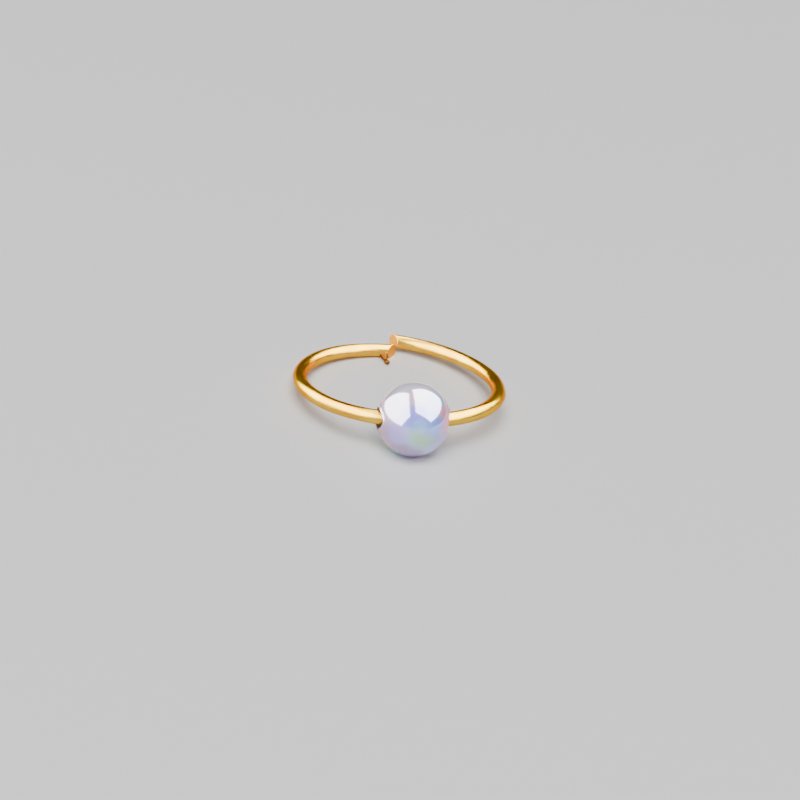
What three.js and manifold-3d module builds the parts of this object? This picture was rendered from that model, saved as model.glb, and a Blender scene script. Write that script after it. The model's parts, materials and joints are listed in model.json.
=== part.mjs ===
// Nose ring lying on its side: a thin wire hoop whose two cut ends have sprung past each other
// at the back, with one drilled pearl bead threaded on the wire at the front.
// Millimetres, +Z up. The bead is towards -Y, the cut towards +Y, and the origin is on the
// surface that the ring lies on, under the middle of the ring.

import * as THREE from 'three';
import { mergeVertices } from 'three/addons/utils/BufferGeometryUtils.js';
import Module from 'manifold-3d';

// Driving dimensions, in millimetres and degrees
const hoopInnerDiameter = 8;
const wireDiameter = 0.6;
const beadDiameter = 3.1;
const boreClearance = 0.065; // play left where the curved wire comes nearest to the bore's wall
const mouthWidening = 0.06; // how much wider the bore is at each mouth, on the radius
const mouthDepth = 0.08; // how deep that widening goes

// The cut, and how the two ends lie beside it
const cutDirection = 85.67; // seen from above, counted from +X towards +Y
const cutSlant = 35; // how far each cut face turns from square, towards the inside of the hoop
const endOverlap = -0.07; // length by which the middles of the two ends run past each other, less than 0 for a gap
const endClearance = 0.02; // space between the low end and the high end that passes behind it
const lowEndDrop = 0.07;
const highEndLift = 0.2;
const lowEndReach = 56; // arc over which the low end bends down
const highEndReach = 95; // arc over which the high end bends outwards and up
const lowEndPower = 1.67;
const highEndPower = 1.9;

// The burr that the cutter left under the low end
const burrLength = 0.66;
const burrWidth = 0.17;
const burrTipWidth = 0.24;
const burrSetback = 0.4; // from the middle of the cut face, back along the wire
const burrSlope = 25; // how steeply the burr points down

// Fineness of the faceted surfaces
const wireSides = 16;
const wireSteps = 120;
const beadSides = 40;
const beadRows = 18;
const burrSides = 10;
const burrSteps = 8;

// What the two materials weigh, in milligrams for each cubic millimetre
const wireDensity = 8.5;
const beadDensity = 1.2;

const toRadians = THREE.MathUtils.degToRad;
const wireRadius = wireDiameter / 2;
const beadRadius = beadDiameter / 2;
const hoopRadius = hoopInnerDiameter / 2 + wireRadius;

const wasm = await Module();
wasm.setup();

// A closed geometry as a solid that can be joined to another
function solidOf(geometry) {
  const bare = geometry.clone();
  bare.deleteAttribute('normal');
  bare.deleteAttribute('uv');
  const merged = mergeVertices(bare, wireDiameter * 1e-4);
  return new wasm.Manifold(new wasm.Mesh({
    numProp: 3,
    vertProperties: new Float32Array(merged.attributes.position.array),
    triVerts: new Uint32Array(merged.index.array),
  }));
}

// The surface of such a solid as a geometry again
function geometryOf(solid) {
  const mesh = solid.getMesh();
  const geometry = new THREE.BufferGeometry();
  geometry.setAttribute('position', new THREE.BufferAttribute(new Float32Array(mesh.vertProperties), 3));
  geometry.setIndex(new THREE.BufferAttribute(new Uint32Array(mesh.triVerts), 1));
  geometry.computeVertexNormals();
  return geometry;
}

// A round section as an outline of straight sides
function roundSection(radius, sides) {
  const points = [];
  for (let side = 0; side < sides; side += 1) {
    const turn = (2 * Math.PI * side) / sides;
    points.push(new THREE.Vector2(radius * Math.cos(turn), radius * Math.sin(turn)));
  }
  return new THREE.Shape(points);
}

// How much of an end's bend is felt at an angle from it: all of it at the end, none past its reach
function bendShare(angle, reach, power) {
  return Math.min(1, Math.max(0, 1 - angle / reach)) ** power;
}

// The middle line of the wire, a circle that its two ends leave. Angle 0 is the low end, and the
// angle grows round the hoop, past the bead, to the high end at 360 degrees.
function wirePoint(angle) {
  const low = bendShare(angle, lowEndReach, lowEndPower);
  const high = bendShare(360 - angle, highEndReach, highEndPower);
  const radius = hoopRadius + (wireDiameter + endClearance) * high;
  const turn = toRadians(cutDirection + angle);
  const height = highEndLift * high - lowEndDrop * low;
  return new THREE.Vector3(radius * Math.cos(turn), radius * Math.sin(turn), height);
}

// The wire's own directions at an angle: along it, towards the inside of the hoop, and up
function wireFrame(angle) {
  const middle = wirePoint(angle);
  const along = wirePoint(angle + 0.5).sub(wirePoint(angle - 0.5)).normalize();
  const inside = new THREE.Vector3(0, 0, 1).cross(along).normalize();
  const up = along.clone().cross(inside);
  return { middle, along, inside, up };
}

// The angle that a length of wire takes up, and the angles at the middles of the two cut faces
const angleOf = (length) => THREE.MathUtils.radToDeg(length / hoopRadius);
const lowEndAngle = -angleOf(endOverlap / 2);
const highEndAngle = 360 + angleOf(endOverlap / 2);

// The wire: a straight rod, bent round the hoop. Near each end every point also slides along the
// wire, by more the farther it lies from the middle line, so that the end face stands on the slant.
function wireGeometry() {
  const rodLength = (highEndAngle - lowEndAngle) / angleOf(1);
  const settings = { depth: rodLength, steps: wireSteps, bevelEnabled: false };
  const rod = new THREE.ExtrudeGeometry(roundSection(wireRadius, wireSides), settings);
  const points = rod.attributes.position;
  const slope = Math.tan(toRadians(cutSlant));
  const blend = 2 * wireDiameter;
  const lowEnd = wireFrame(lowEndAngle);
  const highEnd = wireFrame(highEndAngle);
  for (let index = 0; index < points.count; index += 1) {
    const inwards = points.getX(index);
    const upwards = points.getY(index);
    const travelled = points.getZ(index);
    const frame = wireFrame(lowEndAngle + angleOf(travelled));
    const place = frame.middle.clone()
      .addScaledVector(frame.inside, inwards)
      .addScaledVector(frame.up, upwards);
    const nearLow = Math.max(0, 1 - travelled / blend);
    const nearHigh = Math.max(0, 1 - (rodLength - travelled) / blend);
    place.addScaledVector(lowEnd.along, slope * inwards * nearLow);
    place.addScaledVector(highEnd.along, -slope * inwards * nearHigh);
    points.setXYZ(index, place.x, place.y, place.z);
  }
  return rod;
}

// The burr: a thin sliver that leaves the low end's inner side and ends in a rounded drop
function burrSolid() {
  const { middle, along, inside, up } = wireFrame(lowEndAngle + angleOf(burrSetback));
  const slope = toRadians(burrSlope);
  const leaving = inside.clone().multiplyScalar(Math.cos(slope)).addScaledVector(up, -Math.sin(slope));
  const root = middle.clone().addScaledVector(leaving, wireRadius / 2);
  const bend = middle.clone().addScaledVector(leaving, wireRadius + burrLength / 2);
  const tip = bend.clone()
    .addScaledVector(inside, burrLength / 2 - burrTipWidth / 2)
    .addScaledVector(along, -burrTipWidth / 2);
  const line = new THREE.QuadraticBezierCurve3(root, bend, tip);
  const settings = { steps: burrSteps, extrudePath: line };
  const sliver = new THREE.ExtrudeGeometry(roundSection(burrWidth / 2, burrSides), settings);
  const drop = new THREE.SphereGeometry(burrTipWidth / 2, burrSides, burrSides / 2);
  drop.translate(tip.x, tip.y, tip.z);
  return solidOf(sliver).add(solidOf(drop));
}

// How far the curved wire leaves a straight line over the length of the bead
const wireSag = hoopRadius - Math.sqrt(hoopRadius ** 2 - beadRadius ** 2);

// The bead's middle: its bore runs halfway between the wire at the bead's middle and at its mouths
const beadMiddle = new THREE.Vector3(0, wireSag / 2 - hoopRadius, 0);

// The bead: a ball with a straight bore that widens at its two mouths, turned to lie along the wire
function beadGeometry() {
  const boreRadius = wireRadius + wireSag / 2 + boreClearance;
  const mouthTurn = Math.asin((boreRadius + mouthWidening) / beadRadius);
  const halfLength = beadRadius * Math.cos(mouthTurn);
  const profile = [];
  for (let row = 0; row <= beadRows; row += 1) {
    const turn = THREE.MathUtils.lerp(mouthTurn, Math.PI - mouthTurn, row / beadRows);
    profile.push(new THREE.Vector2(beadRadius * Math.sin(turn), -beadRadius * Math.cos(turn)));
  }
  profile.push(new THREE.Vector2(boreRadius, halfLength - mouthDepth));
  profile.push(new THREE.Vector2(boreRadius, mouthDepth - halfLength));
  profile.push(profile[0].clone());
  const geometry = new THREE.LatheGeometry(profile, beadSides);
  geometry.rotateZ(-Math.PI / 2);
  return geometry;
}

// Whether a point lies over a triangle, both seen from above
function liesOver(point, corners) {
  const sides = corners.map((corner, index) => {
    const next = corners[(index + 1) % 3];
    return (next.x - corner.x) * (point.y - corner.y) - (next.y - corner.y) * (point.x - corner.x);
  });
  return sides.every((side) => side >= 0) || sides.every((side) => side <= 0);
}

// The upward normal of the plane that the feet stand on: it goes through the bead's foot and two
// others, has the ring's weight over those three, and leaves no foot deep under it
function standingNormal(feet, weightMiddle) {
  const [beadFoot, ...wireFeet] = feet;
  let best = { depth: Infinity, normal: null };
  wireFeet.forEach((first, index) => {
    for (const second of wireFeet.slice(index + 1)) {
      if (!liesOver(weightMiddle, [beadFoot, first, second])) continue;
      const normal = first.clone().sub(beadFoot).cross(second.clone().sub(beadFoot)).normalize();
      if (normal.z < 0) normal.negate();
      const height = normal.dot(beadFoot);
      const depth = Math.max(...wireFeet.map((foot) => height - normal.dot(foot)));
      if (depth < best.depth) best = { depth, normal };
    }
  });
  return best.normal;
}

// Which way is up for the ring as it lies: its feet are the lowest points of the bead and of the
// wire, which move a little as the ring tips, so the plane is found a few times over
function upwardsAtRest() {
  const wireWeight = wireDensity * Math.PI * wireRadius ** 2 * 2 * Math.PI * hoopRadius;
  const beadWeight = beadDensity * (4 / 3) * Math.PI * beadRadius ** 3;
  const weightMiddle = beadMiddle.clone().multiplyScalar(beadWeight / (wireWeight + beadWeight));
  const stations = [];
  for (let step = 0; step <= wireSteps; step += 1) {
    stations.push(wirePoint(THREE.MathUtils.lerp(lowEndAngle, highEndAngle, step / wireSteps)));
  }
  let upwards = new THREE.Vector3(0, 0, 1);
  for (let pass = 0; pass < 3; pass += 1) {
    const beadFoot = beadMiddle.clone().addScaledVector(upwards, -beadRadius);
    const wireFeet = stations.map((station) => station.clone().addScaledVector(upwards, -wireRadius));
    upwards = standingNormal([beadFoot, ...wireFeet], weightMiddle);
  }
  return upwards;
}

const gold = new THREE.MeshStandardMaterial({ color: 0xd98f3c, roughness: 0.22, metalness: 1 });
const pearl = new THREE.MeshStandardMaterial({ color: 0xe4e0f0, roughness: 0.18, metalness: 0 });

const hoop = new THREE.Mesh(geometryOf(solidOf(wireGeometry()).add(burrSolid())), gold);
hoop.name = 'hoop';

const bead = new THREE.Mesh(beadGeometry(), pearl);
bead.name = 'pearl_bead';
bead.position.copy(beadMiddle);

// The ring tipped as it lies, then moved so that the origin is under its middle
const ring = new THREE.Group();
ring.add(hoop, bead);
ring.quaternion.setFromUnitVectors(upwardsAtRest(), new THREE.Vector3(0, 0, 1));
ring.updateMatrixWorld(true);
const box = new THREE.Box3().setFromObject(ring, true);
const middle = box.getCenter(new THREE.Vector3());
ring.position.set(-middle.x, -middle.y, -box.min.z);

const noseRing = new THREE.Group();
noseRing.add(ring);

export default noseRing;
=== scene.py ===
import json
import math

import bpy
import numpy as np
from mathutils import Matrix, Vector


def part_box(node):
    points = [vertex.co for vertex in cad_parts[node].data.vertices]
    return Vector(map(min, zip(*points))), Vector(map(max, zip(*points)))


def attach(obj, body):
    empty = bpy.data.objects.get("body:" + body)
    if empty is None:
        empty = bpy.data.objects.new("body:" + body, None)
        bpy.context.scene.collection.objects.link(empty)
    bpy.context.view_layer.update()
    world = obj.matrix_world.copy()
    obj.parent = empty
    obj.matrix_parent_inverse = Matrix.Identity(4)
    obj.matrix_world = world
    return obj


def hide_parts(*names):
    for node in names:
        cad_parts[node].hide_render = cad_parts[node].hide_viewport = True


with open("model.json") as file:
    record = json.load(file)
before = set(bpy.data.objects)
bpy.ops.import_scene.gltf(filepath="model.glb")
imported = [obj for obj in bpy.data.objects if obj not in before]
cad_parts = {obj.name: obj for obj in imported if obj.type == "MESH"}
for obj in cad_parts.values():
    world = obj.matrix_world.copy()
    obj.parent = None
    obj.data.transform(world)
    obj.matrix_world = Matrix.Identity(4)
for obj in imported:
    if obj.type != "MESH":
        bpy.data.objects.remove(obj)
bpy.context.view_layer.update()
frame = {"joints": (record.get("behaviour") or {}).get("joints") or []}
millimetre = 0.001

# The hoop's own place: its middle and the direction square to it, which are the bead's joint
slide = frame["joints"][0]
hoopMiddle = np.array(slide["pos_m"]) / millimetre
hoopAxis = np.array(slide["axis"]) / np.linalg.norm(slide["axis"])
hoopTurn = np.array(Vector((0, 0, 1)).rotation_difference(Vector(hoopAxis)).to_matrix())
beadBox = [np.array(corner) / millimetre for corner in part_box("pearl_bead")]
print("frame loaded, hoop axis", hoopAxis.round(4))


# Camera: at the photo's angle, found from the wire's middle line in the photo
camera = {
    "azimuth": -11.5,      # degrees, negative is to the left of the bead
    "elevation": 28.45,
    "roll": 8.75,          # the picture leans by this much
    "distance": 95.35,     # mm, from the aim to the lens
    "aim": (-0.142, -1.136, 0.899),
    "lens": 100.6,         # mm
    "sensor": 36,          # mm wide
    "clip": (0.001, 50),   # nearest and farthest that it sees, m
}


# The axes of a camera or a lamp that looks at the ring from an azimuth and an elevation in degrees,
# turned by roll about its own line of sight: across, up, and from the ring towards it
def lookingAxes(azimuth, elevation, roll):
    azimuth, elevation, roll = (math.radians(v) for v in (azimuth, elevation, roll))
    towards = Vector((math.sin(azimuth) * math.cos(elevation),
                      -math.cos(azimuth) * math.cos(elevation),
                      math.sin(elevation)))
    level = Vector((0, 0, 1)).cross(towards).normalized()
    upright = towards.cross(level)
    across = math.cos(roll) * level + math.sin(roll) * upright
    upwards = math.cos(roll) * upright - math.sin(roll) * level
    return across, upwards, towards


def standAt(where, axes):
    return Matrix.Translation(where) @ Matrix(axes).transposed().to_4x4()


def makeCamera():
    axes = lookingAxes(camera["azimuth"], camera["elevation"], camera["roll"])
    data = bpy.data.cameras.new("camera")
    data.lens, data.sensor_width = camera["lens"], camera["sensor"]
    data.clip_start, data.clip_end = camera["clip"]
    shot = bpy.data.objects.new("camera", data)
    where = (Vector(camera["aim"]) + camera["distance"] * axes[2]) * millimetre
    shot.matrix_world = standAt(where, axes)
    bpy.context.scene.collection.objects.link(shot)
    bpy.context.scene.camera = shot
    return axes


right, up, back = makeCamera()
print("camera placed")


# A mesh from a grid of points. The columns close round. The rows close into a loop, or end in two
# poles, where every point of the first and of the last row is the same, so each quad there has twin
# corners and loses one of them.
def meshFromGrid(name, points, uv, looped):
    rows, columns = points.shape[:2]
    index = np.arange(rows * columns).reshape(rows, columns)
    if looped:
        vertices = points.reshape(-1, 3)
        index = np.vstack([index, index[:1]])
    else:
        vertices = np.vstack([points[:1, 0], points[1:-1].reshape(-1, 3), points[-1:, 0]])
        index = index - (columns - 1)
        index[0], index[-1] = 0, len(vertices) - 1
    index = np.hstack([index, index[:, :1]])
    quads = np.stack([index[:-1, :-1], index[:-1, 1:], index[1:, 1:], index[1:, :-1]], -1)
    corners = np.stack([uv[:-1, :-1], uv[:-1, 1:], uv[1:, 1:], uv[1:, :-1]], -2)
    a, b, c = (vertices[quads[..., k]] for k in range(3))
    inward = np.einsum("ijk,ijk->", a, np.cross(b, c)) < 0
    turned = [0, 3, 2, 1] if inward else [0, 1, 2, 3]
    quads, corners = quads[..., turned], corners[..., turned, :]
    faces, loops = [], []
    for row in range(len(quads)):
        pole = not looped and row in (0, len(quads) - 1)
        if pole:
            twins = (0, 1) if row == 0 else (2, 3)
            dropped = max(turned.index(k) for k in twins)
            keep = [k for k in range(4) if k != dropped]
        else:
            keep = [0, 1, 2, 3]
        faces.extend(quads[row][:, keep].tolist())
        loops.append(corners[row][:, keep].reshape(-1, 2))
    mesh = bpy.data.meshes.new(name)
    mesh.from_pydata(vertices.tolist(), [], faces)
    mesh.uv_layers.new(name="surface").data.foreach_set("uv", np.vstack(loops).ravel())
    mesh.shade_smooth()
    mesh.validate()
    piece = bpy.data.objects.new(name, mesh)
    bpy.context.scene.collection.objects.link(piece)
    return piece


def unit(vectors):
    return vectors / np.linalg.norm(vectors, axis=-1, keepdims=True)


def smoothStep(low, high, value):
    share = np.clip((value - low) / (high - low), 0, 1)
    return share * share * (3 - 2 * share)


# Points of the hoop's own flat frame, in millimetres, put where the ring lies
def layDown(points):
    return points @ hoopTurn.T + hoopMiddle


# The hoop
wire = {
    "hoopRadius": 4.3,       # to the wire's middle, mm
    "radius": 0.3,
    "cutDirection": 85.67,   # degrees from +X towards +Y
    "cutSlant": 35,          # degrees
    "cutReach": 4,           # how far from an end the slant shifts the surface, in wire radii
    "endOverlap": -0.07,     # mm along the wire, negative is a gap
    "endStep": 0.62,         # how far outside the low end the high end passes
    "lowEndDrop": 0.07,
    "highEndLift": 0.2,
    "lowEnd": (56, 1.67),    # reach of the bend in degrees, and its power
    "highEnd": (95, 1.9),
    "rows": 900,
    "columns": 64,
    "edgeRound": 0.018,      # roundness of the cut's rim
    "edgeRows": 6,
    "faceRows": 8,
    "unevenness": 0.006,     # how far the wire strays from a true round, mm
    "ovalTwist": 0.9,        # turn of its oval along the wire, radians a mm
    "ovalBeat": 0.53,        # how fast the oval comes and goes, radians a mm
    "ovalStart": 1,
    "threeTwist": -1.7,      # turn of its three-sided share, radians a mm
    "threeShare": 0.6,
}


def bendShare(angle, reach, power):
    return np.clip(1 - angle / reach, 0, 1) ** power


# The wire's middle line: a circle whose radius and height change by a power of the distance left
# to each end
def wirePoint(angle):
    low = bendShare(angle, *wire["lowEnd"])
    high = bendShare(360 - angle, *wire["highEnd"])
    radius = wire["hoopRadius"] + wire["endStep"] * high
    turn = np.radians(wire["cutDirection"] + angle)
    height = wire["highEndLift"] * high - wire["lowEndDrop"] * low
    return np.stack([radius * np.cos(turn), radius * np.sin(turn), height], -1)


# Along the wire, towards the hoop's inside, and square to both, from the points half a degree before
# and after
def wireFrame(angle):
    along = unit(wirePoint(angle + 0.5) - wirePoint(angle - 0.5))
    inside = unit(np.cross([0, 0, 1.0], along))
    return along, inside, np.cross(along, inside)


degreesPerMillimetre = math.degrees(1 / wire["hoopRadius"])
lowEndAngle = -wire["endOverlap"] / 2 * degreesPerMillimetre
wireLength = (360 + wire["endOverlap"] * degreesPerMillimetre) / degreesPerMillimetre


# The wire's surface: circles carried along the middle line, each a little oval and three-sided by
# sines of the way round and along. Each end closes with a rounded rim and a flat face, and what is
# near an end slides along the wire by the slant of the cut.
def makeWire():
    radius, rim = wire["radius"], wire["edgeRound"]
    quarter = np.linspace(0, math.pi / 2, wire["edgeRows"])
    faceRadii = np.linspace(0, radius - rim, wire["faceRows"])[:-1]
    capRadius = np.concatenate([faceRadii, radius - rim + rim * np.sin(quarter)])
    capTravel = np.concatenate([np.zeros_like(faceRadii), rim - rim * np.cos(quarter)])
    middleTravel = np.linspace(rim, wireLength - rim, wire["rows"])[1:-1]
    travelled = np.concatenate([capTravel, middleTravel, wireLength - capTravel[::-1]])
    size = np.concatenate([capRadius, np.full(len(middleTravel), radius), capRadius[::-1]])
    surfaceRun = np.concatenate([capRadius - radius, middleTravel,
                                 wireLength + radius - capRadius[::-1]])
    around = np.linspace(0, 2 * math.pi, wire["columns"], endpoint=False)
    size, travelled = size[:, None], travelled[:, None]
    beat = np.sin(wire["ovalBeat"] * travelled + wire["ovalStart"])
    oval = np.sin(2 * around + wire["ovalTwist"] * travelled) * beat
    three = np.sin(3 * around + wire["threeTwist"] * travelled)
    wander = wire["unevenness"] * (oval + wire["threeShare"] * three)
    size = size * (1 + wander / radius)
    inwards, upwards = size * np.cos(around), size * np.sin(around)
    angle = lowEndAngle + travelled[:, 0] * degreesPerMillimetre
    along, inside, upright = wireFrame(angle)
    points = (wirePoint(angle)[:, None] + inwards[..., None] * inside[:, None]
              + upwards[..., None] * upright[:, None])
    slope, blend = math.tan(math.radians(wire["cutSlant"])), wire["cutReach"] * radius
    lowAlong, highAlong = (wireFrame(np.array([a]))[0][0] for a in (lowEndAngle, 360 - lowEndAngle))
    nearLow = np.clip(1 - travelled / blend, 0, 1)
    nearHigh = np.clip(1 - (wireLength - travelled) / blend, 0, 1)
    points += (slope * inwards * nearLow)[..., None] * lowAlong
    points -= (slope * inwards * nearHigh)[..., None] * highAlong
    roundRun = np.linspace(0, 2 * math.pi * radius, wire["columns"] + 1)
    uv = np.stack(np.broadcast_arrays(roundRun[None, :], surfaceRun[:, None]), -1)
    return meshFromGrid("hoopWire", points, uv, looped=False)


# The burr: a curled sliver with a swollen root and a drop at its tip
burr = {
    "length": 0.66,      # mm
    "width": 0.17,
    "tipWidth": 0.24,
    "setback": 0.4,      # from the low end, along the wire
    "slope": 25,         # degrees below the hoop's plane
    "rootDepth": 0.6,    # where it starts in the wire, in wire radii
    "flatness": 0.75,    # its thickness in widths
    "places": (0, 0.12, 0.3, 0.55, 0.72, 0.86, 0.95, 1),   # along it, for the widths below
    "stemWidths": (0, 2.2, 1.5, 0.8),                      # in widths
    "dropWidths": (0.85, 1, 0.75, 0),                      # in tip widths
    "rows": 48,
    "columns": 24,
    "uvStart": 100,      # keeps the burr's stretch of the surface map apart from the wire's
}


# One quadratic curve from the wire through the bend to the tip, and flattened rings across it whose
# width is read along it from the table
def makeBurr():
    angle = np.array([lowEndAngle + burr["setback"] * degreesPerMillimetre])
    middle = wirePoint(angle)[0]
    along, inside, upright = (v[0] for v in wireFrame(angle))
    slope = math.radians(burr["slope"])
    leaving = math.cos(slope) * inside - math.sin(slope) * upright
    root = middle + leaving * wire["radius"] * burr["rootDepth"]
    bend = middle + leaving * (wire["radius"] + burr["length"] / 2)
    tip = bend + inside * (burr["length"] / 2) - along * burr["tipWidth"] / 2
    share = np.linspace(0, 1, burr["rows"])
    weights = np.stack([(1 - share) ** 2, 2 * share * (1 - share), share ** 2], -1)
    path = weights @ np.stack([root, bend, tip])
    tangent = unit(np.gradient(path, axis=0))
    side = unit(np.cross(tangent, upright))
    lift = np.cross(side, tangent)
    thin, drop = burr["width"] / 2, burr["tipWidth"] / 2
    widths = [thin * v for v in burr["stemWidths"]] + [drop * v for v in burr["dropWidths"]]
    width = np.interp(share, burr["places"], widths)[:, None]
    around = np.linspace(0, 2 * math.pi, burr["columns"], endpoint=False)
    points = (path[:, None] + (width * np.cos(around))[..., None] * side[:, None]
              + burr["flatness"] * (width * np.sin(around))[..., None] * lift[:, None])
    roundRun = np.linspace(0, 2 * math.pi * thin, burr["columns"] + 1)
    surfaceRun = burr["uvStart"] + share * burr["length"]
    uv = np.stack(np.broadcast_arrays(roundRun[None, :], surfaceRun[:, None]), -1)
    return meshFromGrid("burr", points, uv, looped=False)


def joinSolids(main, other):
    union = main.modifiers.new("join", "BOOLEAN")
    union.operation, union.solver, union.object = "UNION", "EXACT", other
    joined = main.evaluated_get(bpy.context.evaluated_depsgraph_get())
    shape = bpy.data.meshes.new_from_object(joined)
    main.modifiers.clear()
    main.data = shape
    bpy.data.objects.remove(other)


def toMetres(piece, place):
    points = np.empty(len(piece.data.vertices) * 3)
    piece.data.vertices.foreach_get("co", points)
    piece.data.vertices.foreach_set("co", (place(points.reshape(-1, 3)) * millimetre).ravel())
    piece.data.update()


hoopPiece = makeWire()
bpy.context.view_layer.update()
joinSolids(hoopPiece, makeBurr())
toMetres(hoopPiece, layDown)
hoopPiece.data.shade_smooth()
print("hoop made,", len(hoopPiece.data.polygons), "faces")


# The bead
bead = {
    "radius": 1.55,          # mm
    "boreRadius": 0.5,
    "lipRadius": 0.465,      # of the hole's edge on the ball
    "lipRaise": 0.03,        # how far the coat stands up at that edge
    "lipWidth": 0.05,
    "nickDepth": 0.014,
    "nickWaves": (3, 5, 8, 13),   # nicks in one turn of the edge
    "chamferDepth": 0.12,
    # how far the edge is eaten away, where round the hole in degrees, how wide, start of its nicks
    "leftChip": (0.25, 12, 38, 1.3),
    "rightChip": (0.42, -15, 75, 4.1),
    "columns": 160,
    "outerRows": 120,
    "mouthRows": 8,
    "boreRows": 24,
}
beadMiddle = (beadBox[0] + beadBox[1]) / 2


# How wide the hole's edge is round the hole: a mean, one chip as a bell curve, and small nicks as
# sines that get lower as they get finer
def lipRadius(around, chip):
    depth, where, spread, start = chip
    gap = (np.degrees(around) - where + 180) % 360 - 180
    nicks = sum(np.sin(k * around + start * (k + 1)) / k for k in bead["nickWaves"])
    return bead["lipRadius"] + depth * np.exp(-(gap / spread) ** 2) + bead["nickDepth"] * nicks


# The bead's surface: meridians of a ball that end in a raised lip at each hole's edge, then a
# slanted mouth and a straight bore, all as rings round the bore's axis. On the surface map the
# outside runs from 0 to 1 and the bore and its mouths from 1 to 2.
def makeBead():
    radius, bore = bead["radius"], bead["boreRadius"]
    around = np.linspace(0, 2 * math.pi, bead["columns"], endpoint=False)
    left = np.arcsin(lipRadius(around, bead["leftChip"]) / radius)
    right = np.arcsin(lipRadius(around, bead["rightChip"]) / radius)
    even = np.linspace(0, 1, bead["outerRows"])
    share = (smoothStep(0, 1, even) + even) / 2
    turn = left + (math.pi - right - left) * share[:, None]
    nearEdge = np.minimum(turn - left, math.pi - right - turn) * radius / bead["lipWidth"]
    reach = radius + bead["lipRaise"] * np.exp(-nearEdge ** 2)
    outerX, outerR = -reach * np.cos(turn), reach * np.sin(turn)
    lipX = [outerX[0], outerX[-1]]
    mouth = np.linspace(0, 1, bead["mouthRows"])[1:, None]
    endX = radius * math.cos(math.asin(bore / radius)) - bead["chamferDepth"]
    rightX = lipX[1] + (endX - lipX[1]) * mouth
    rightR = outerR[-1] + (bore - outerR[-1]) * np.sqrt(mouth)
    boreX = np.linspace(endX, -endX, bead["boreRows"])[1:-1, None] + 0 * around
    boreR = np.full_like(boreX, bore)
    leftX = (lipX[0] + (-endX - lipX[0]) * mouth)[::-1]
    leftR = (outerR[0] + (bore - outerR[0]) * np.sqrt(mouth))[::-1]
    x = np.vstack([outerX, rightX, boreX, leftX])
    r = np.vstack([outerR, rightR, boreR, leftR])
    points = np.stack([x, -r * np.cos(around), r * np.sin(around)], -1)
    roundRun = np.linspace(0, 1, bead["columns"] + 1)
    inside = len(points) - bead["outerRows"] + 1
    run = np.concatenate([even, 1 + np.arange(1, inside + 1) / inside])
    uv = np.stack(np.broadcast_arrays(roundRun[None, :], run[:, None]), -1)
    return meshFromGrid("pearlBead", points, uv, looped=True)


# The bead sits across the hoop's front, its bore along the wire there
def placeBead(points):
    return points @ hoopTurn.T + beadPlace


flatMiddle = np.array([0, -wire["hoopRadius"], 0])
sag = wire["hoopRadius"] - math.sqrt(wire["hoopRadius"] ** 2 - bead["radius"] ** 2)
beadPlace = layDown(flatMiddle + np.array([0, sag / 2, 0]))
beadPiece = makeBead()
toMetres(beadPiece, placeBead)
print("bead made,", len(beadPiece.data.polygons), "faces, off the frame by",
      np.abs(beadPlace - beadMiddle).max().round(4), "mm")


# One socket of a material: sums and products of sockets and numbers add the nodes for them
class Shade:
    def __init__(self, paint, socket):
        self.paint, self.socket = paint, socket

    def __add__(self, other):
        return self.paint.maths("ADD", self, other)

    def __radd__(self, other):
        return self.paint.maths("ADD", other, self)

    def __sub__(self, other):
        return self.paint.maths("SUBTRACT", self, other)

    def __rsub__(self, other):
        return self.paint.maths("SUBTRACT", other, self)

    def __mul__(self, other):
        return self.paint.maths("MULTIPLY", self, other)

    def __rmul__(self, other):
        return self.paint.maths("MULTIPLY", other, self)


class Paint:
    def __init__(self, owner):
        owner.use_nodes = True
        self.owner = owner
        self.nodes = owner.node_tree.nodes
        self.links = owner.node_tree.links
        self.nodes.clear()

    # Any node: its settings first, then the values or links of its sockets
    def node(self, kind, settings=(), inputs=(), output=0):
        made = self.nodes.new("ShaderNode" + kind)
        for key, value in dict(settings).items():
            if key == "stops":
                self.setRamp(made.color_ramp, value)
            else:
                setattr(made, key, value)
        for key, value in dict(inputs).items():
            if isinstance(value, Shade):
                self.links.new(value.socket, made.inputs[key])
            else:
                made.inputs[key].default_value = value
        return None if output is None else Shade(self, made.outputs[output])

    def setRamp(self, ramp, stops):
        while len(ramp.elements) < len(stops):
            ramp.elements.new(0.5)
        for element, (place, colour) in zip(ramp.elements, stops):
            element.position, element.color = place, (*colour, 1)

    def maths(self, operation, *values):
        return self.node("Math", {"operation": operation}, enumerate(values))

    # Two colours, each a socket or three numbers. The sockets of a colour Mix are 6 and 7.
    def mix(self, share, first, second):
        first, second = (c if isinstance(c, Shade) else (*c, 1) for c in (first, second))
        return self.node("Mix", {"data_type": "RGBA"}, {0: share, 6: first, 7: second}, output=2)

    # 0 below low, 1 above high, and smooth between them
    def step(self, value, low, high):
        return self.node("MapRange", {"interpolation_type": "SMOOTHSTEP"},
                         {"Value": value, "From Min": low, "From Max": high})

    def noise(self, where, scale, detail, **more):
        return self.node("TexNoise", (), {"Vector": where, "Scale": scale, "Detail": detail, **more})

    # How far one direction points along another, 1 where they are the same
    def along(self, direction, other):
        return self.node("VectorMath", {"operation": "DOT_PRODUCT"}, {0: direction, 1: other}, output=1)

    # The second number of a place on the piece's own surface map
    def alongSurface(self, surface):
        return self.node("SeparateXYZ", (), {0: surface}, output=1)

    # The material's or the world's own output
    def finish(self, shader, kind="Material"):
        self.node("Output" + kind, (), {"Surface": shader}, output=None)
        return self.owner

    def principled(self, inputs):
        return self.finish(self.node("BsdfPrincipled", (), inputs))


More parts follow.
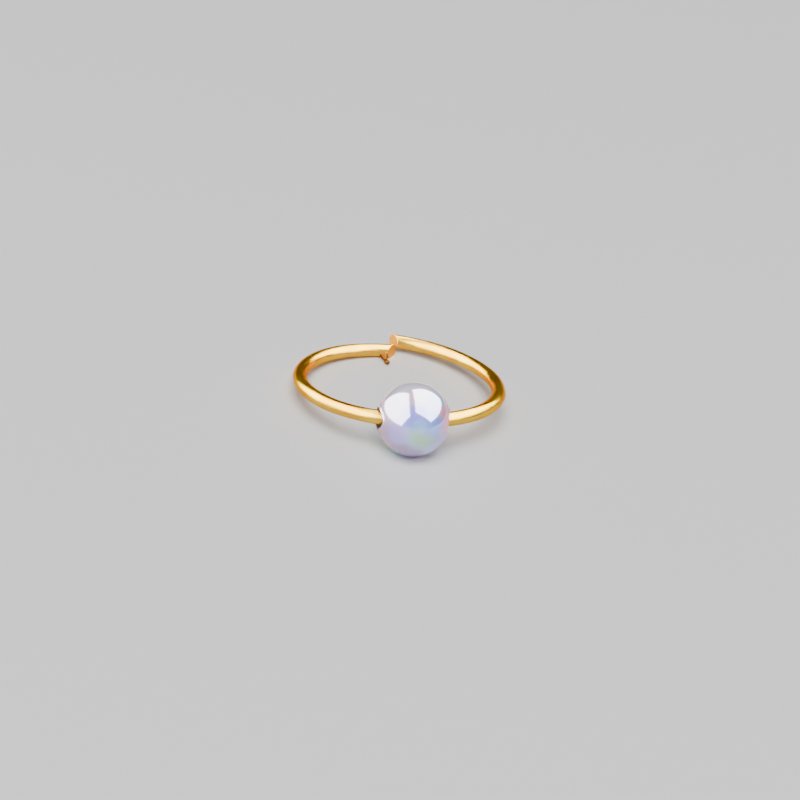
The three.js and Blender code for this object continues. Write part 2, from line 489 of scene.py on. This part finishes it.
# Gold-coloured plating on drawn wire
gold = {
    "colour": (0.80, 0.52, 0.045),
    "deepColour": (0.72, 0.38, 0.03),
    "rawColour": (0.80, 0.35, 0.03),      # of the cut faces
    # the burr's orange metal, darkened with painted shade
    "burrColourAndShade": (0.10, 0.035, 0.004),
    "edgeColour": (0.95, 0.46, 0.12),     # of what is seen at a low angle
    "roughness": 0.12,
    "markRoughness": 0.08,                # more in the drawing marks
    "wearRoughness": 0.08,                # more in the worn spots
    "cutRoughness": 0.36,
    "markLength": 2.2,                    # of the drawing marks, mm
    "markWidth": 0.018,
    "toneScale": 900,                     # of the clouds of the two golds, per metre
    "toneSpan": (0.35, 0.65),
    "scuffScale": 4200,
    "scuffHeight": 0.25,                  # in drawing marks
    "wearSpan": (0.55, 0.75),
    "shearScale": (60000, 9000, 30000),   # of the cutter's marks on the cut faces
    "shearTurn": (0.5, 0.3, 0.4),
    "shearHeight": 3,                     # in drawing marks
    "bump": 0.25,
    "bumpHeight": 0.00002,                # m
}


def paintGold():
    paint = Paint(bpy.data.materials.new("goldWire"))
    surface = paint.node("UVMap", {"uv_map": "surface"})
    travelled = paint.alongSurface(surface)
    stretch = (1 / gold["markWidth"], 1 / gold["markLength"], 1)
    stretched = paint.node("Mapping", (), {0: surface, 3: stretch})
    marks = paint.node("TexNoise", {"noise_dimensions": "2D"},
                       {"Vector": stretched, "Scale": 1, "Detail": 3})
    place = paint.node("TexCoord", output=3)
    tone = paint.noise(place, gold["toneScale"], 3)
    scuffs = paint.noise(place, gold["scuffScale"], 4, Roughness=0.6)
    cut = paint.maths("MAXIMUM", paint.maths("LESS_THAN", travelled, -wire["edgeRound"] / 2),
                      paint.maths("GREATER_THAN", travelled, wireLength + wire["edgeRound"] / 2))
    onBurr = paint.maths("GREATER_THAN", travelled, burr["uvStart"] / 2)
    cut = cut * (1 - onBurr)
    colour = paint.mix(paint.step(tone, *gold["toneSpan"]), gold["colour"], gold["deepColour"])
    colour = paint.mix(cut, colour, gold["rawColour"])
    # the burr is painted dark: its metal colour with painted shade
    colour = paint.mix(onBurr, colour, gold["burrColourAndShade"])
    wear = paint.step(scuffs, *gold["wearSpan"])
    rougher = (cut + onBurr) * (gold["cutRoughness"] - gold["roughness"])
    worn = marks * gold["markRoughness"] + wear * gold["wearRoughness"]
    sheared = paint.node("Mapping", (), {0: place, 2: gold["shearTurn"], 3: gold["shearScale"]})
    shear = paint.noise(sheared, 1, 2)
    height = marks * (1 - cut) + scuffs * gold["scuffHeight"] + shear * cut * gold["shearHeight"]
    bump = paint.node("Bump", (), {"Strength": gold["bump"], "Distance": gold["bumpHeight"],
                                   "Height": height})
    return paint.principled({
        "Base Color": colour, "Roughness": gold["roughness"] + worn + rougher, "Metallic": 1.0,
        "Normal": bump, "Specular Tint": (*gold["edgeColour"], 1),
    })


# Imitation pearl: white plastic under a thin rainbow coat. The tints are patches of painted rainbow
# sheen fixed on the ball, over a faint swirl of them all; the near-white patch at the top is painted
# light, and the darkest patches low on the ball are painted shade. Each patch lies in one direction
# from the ball's middle, given as the photo shows it: across and up, in radii of the ball.
pearl = {
    "roughness": 0.12,
    "grainScale": 9000,
    "grainRoughness": 0.06,
    "bump": 0.08,
    "bumpHeight": 0.00001,              # m
    "metallic": 0.24,                   # share of the gloss that takes the tint's colour
    "ior": 1.6,
    "coatIor": 2.5,
    "coatRoughness": 0.02,
    "filmThickness": 430.0,             # nm
    "filmIor": 1.36,
    "boreColourAndShade": (0.30, 0.24, 0.22),   # of the bare plastic in the hole, darkened with painted shade
    "boreRoughness": 0.45,              # more in the hole
    "boreEdge": 0.02,                   # softness of the coat's end on the surface map
    "swirlScale": 420,
    "swirl": [
        (0.30, (0.70, 0.50, 0.90)),
        (0.42, (0.92, 0.62, 0.84)),
        (0.50, (0.60, 0.58, 1.00)),
        (0.58, (0.48, 0.80, 1.00)),
        (0.66, (0.55, 0.82, 0.50)),
        (0.76, (0.98, 0.55, 0.62)),
    ],
    "driftScale": 700,
    "drift": 0.14,                      # waver of the patches' edges
    # painted rainbow sheen, with painted light at the top and painted shade low on the ball
    "paintedLightPatches": [
        # across, up, half width, softness, tint, strength
        # painted light: the top of the ball made near white
        (0.00, 0.92, 0.55, 0.35, (1.00, 0.90, 1.00), 0.90),
        (-0.72, -0.15, 0.50, 0.35, (0.90, 0.56, 0.78), 0.80),
        # painted shade: the lower left and the bottom of the ball made dark
        (-0.62, -0.58, 0.40, 0.32, (0.48, 0.20, 0.32), 0.90),
        (-0.15, -0.92, 0.42, 0.28, (0.28, 0.13, 0.34), 0.92),
        (0.60, -0.25, 0.40, 0.30, (0.30, 0.46, 1.00), 0.85),
        (0.64, -0.62, 0.32, 0.28, (0.40, 0.34, 0.74), 0.80),
        (0.02, -0.34, 0.24, 0.26, (0.22, 0.60, 0.95), 0.85),
        (-0.42, -0.36, 0.26, 0.26, (0.46, 0.34, 1.00), 0.85),
        (0.24, -0.47, 0.25, 0.30, (0.34, 0.58, 0.20), 0.80),
        (0.88, -0.02, 0.30, 0.24, (1.00, 0.30, 0.40), 0.90),
        (0.02, 0.06, 0.28, 0.24, (0.24, 0.24, 1.00), 0.95),
        (0.52, -0.16, 0.20, 0.24, (0.26, 0.38, 1.00), 0.90),
        (0.10, -0.19, 0.10, 0.18, (0.30, 0.66, 1.00), 0.60),
        (-0.05, 0.62, 0.16, 0.12, (1.00, 0.55, 0.72), 0.80),
    ],
}


def paintPearl():
    paint = Paint(bpy.data.materials.new("pearlCoat"))
    place = paint.node("TexCoord", output=3)
    middle = Vector(beadPlace) * millimetre
    centred = paint.node("Mapping", (), {0: place, 1: -middle})
    outwards = paint.node("VectorMath", {"operation": "NORMALIZE"}, {0: centred})
    drift = (paint.noise(centred, pearl["driftScale"], 2) - 0.5) * pearl["drift"]
    swirl = paint.noise(centred, pearl["swirlScale"], 3)
    colour = paint.node("ValToRGB", {"stops": pearl["swirl"]}, {0: swirl})
    # each patch paints its tint over the colour: painted sheen, painted light at the top, painted shade
    # low down
    for rightwards, upwards, width, soft, tint, strength in pearl["paintedLightPatches"]:
        forwards = math.sqrt(max(0, 1 - rightwards ** 2 - upwards ** 2))
        direction = (rightwards * right + upwards * up + forwards * back).normalized()
        inner, outer = math.cos(max(0, width - soft)), math.cos(width + soft)
        share = paint.step(paint.along(outwards, direction) + drift, outer, inner)
        colour = paint.mix(share * strength, colour, tint)
    surface = paint.node("UVMap", {"uv_map": "surface"})
    inBore = paint.step(paint.alongSurface(surface), 1, 1 + pearl["boreEdge"])
    coated = 1 - inBore
    # the hole is painted dark: its bare plastic with painted shade
    colour = paint.mix(inBore, colour, pearl["boreColourAndShade"])
    grain = paint.noise(centred, pearl["grainScale"], 3)
    rougher = grain * pearl["grainRoughness"] + inBore * pearl["boreRoughness"]
    bump = paint.node("Bump", (), {"Strength": pearl["bump"], "Distance": pearl["bumpHeight"],
                                   "Height": grain + swirl})
    return paint.principled({
        "Base Color": colour, "Roughness": pearl["roughness"] + rougher,
        "Metallic": coated * pearl["metallic"], "Normal": bump, "IOR": pearl["ior"],
        "Coat Weight": coated, "Coat Roughness": pearl["coatRoughness"], "Coat IOR": pearl["coatIor"],
        "Thin Film Thickness": pearl["filmThickness"], "Thin Film IOR": pearl["filmIor"],
    })


for piece, material, body, node, slot in (
        (hoopPiece, paintGold(), "hoop", "hoop", "gold_wire"),
        (beadPiece, paintPearl(), "bead", "pearl_bead", "pearl_coat")):
    piece.data.materials.clear()
    piece.data.materials.append(material)
    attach(piece, body)
    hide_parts(node)
print("materials made")


# The floor and the light: a pale plain floor, a wide soft light overhead, and two big white panels
# that stand left and right as a light tent's walls and show as the white patches on the bead
studio = {
    "floorSize": 6.0,        # m
    "floorColour": (0.62, 0.615, 0.61),
    "floorRoughness": 0.9,
    "floorGloss": 0.1,
    "roomColour": (0.76, 0.78, 1.00),
    "roomFront": 1.0,        # how bright the room is behind the camera
    "roomBack": 0.2,
    "roomSpan": (0.2, 0.9),  # cosines between which the back turns to the front
    "lampDistance": 0.5,     # m
    "panels": [
        # azimuth, elevation and roll in degrees, width and height in distances, brightness
        (-91.5, 19.5, 76.4, 2.38, 2.41, 11.5),
        (90.9, 57.4, -2.0, 2.17, 1.54, 11.5),
    ],
    "overhead": (-12.0, 62.0, 0.36, 5.8),   # azimuth, elevation, size in m, brightness on the floor
}


def makeFloor():
    half = studio["floorSize"] / 2
    corners = [(-half, -half, 0), (half, -half, 0), (half, half, 0), (-half, half, 0)]
    mesh = bpy.data.meshes.new("floor")
    mesh.from_pydata(corners, [], [(0, 1, 2, 3)])
    floor = bpy.data.objects.new("floor", mesh)
    bpy.context.scene.collection.objects.link(floor)
    paint = Paint(bpy.data.materials.new("floor"))
    mesh.materials.append(paint.principled({
        "Base Color": (*studio["floorColour"], 1), "Roughness": studio["floorRoughness"],
        "Specular IOR Level": studio["floorGloss"],
    }))


# A rectangular lamp that faces the bead. Its energy is brightness times pi times its area.
def makeLamp(name, axes, wide, high, brightness):
    data = bpy.data.lights.new(name, "AREA")
    data.shape, data.size, data.size_y = "RECTANGLE", wide, high
    data.energy = brightness * math.pi * wide * high
    lamp = bpy.data.objects.new(name, data)
    where = Vector(beadPlace) * millimetre + axes[2] * studio["lampDistance"]
    lamp.matrix_world = standAt(where, axes)
    lamp.visible_camera = False
    bpy.context.scene.collection.objects.link(lamp)
    return lamp


def makeLight():
    world = bpy.data.worlds.new("studio")
    bpy.context.scene.world = world
    room = Paint(world)
    seen = room.node("TexCoord")
    front = Vector((back.x, back.y, 0)).normalized()
    share = room.step(room.along(seen, front), *studio["roomSpan"])
    bright = studio["roomBack"] + share * (studio["roomFront"] - studio["roomBack"])
    shown = room.node("Background", (), {"Color": (*studio["roomColour"], 1), "Strength": bright})
    room.finish(shown, "World")
    far = studio["lampDistance"]
    for number, (azimuth, elevation, roll, wide, high, brightness) in enumerate(studio["panels"]):
        axes = lookingAxes(azimuth, elevation, roll)
        panel = makeLamp(f"panel{number}", axes, wide * far, high * far, brightness)
        panel.visible_diffuse = False
    azimuth, elevation, size, brightness = studio["overhead"]
    solidAngle = (size / far) ** 2
    lamp = makeLamp("overhead", lookingAxes(azimuth, elevation, 0), size, size, brightness / solidAngle)
    lamp.visible_glossy = False


makeFloor()
makeLight()
print("floor and light made")
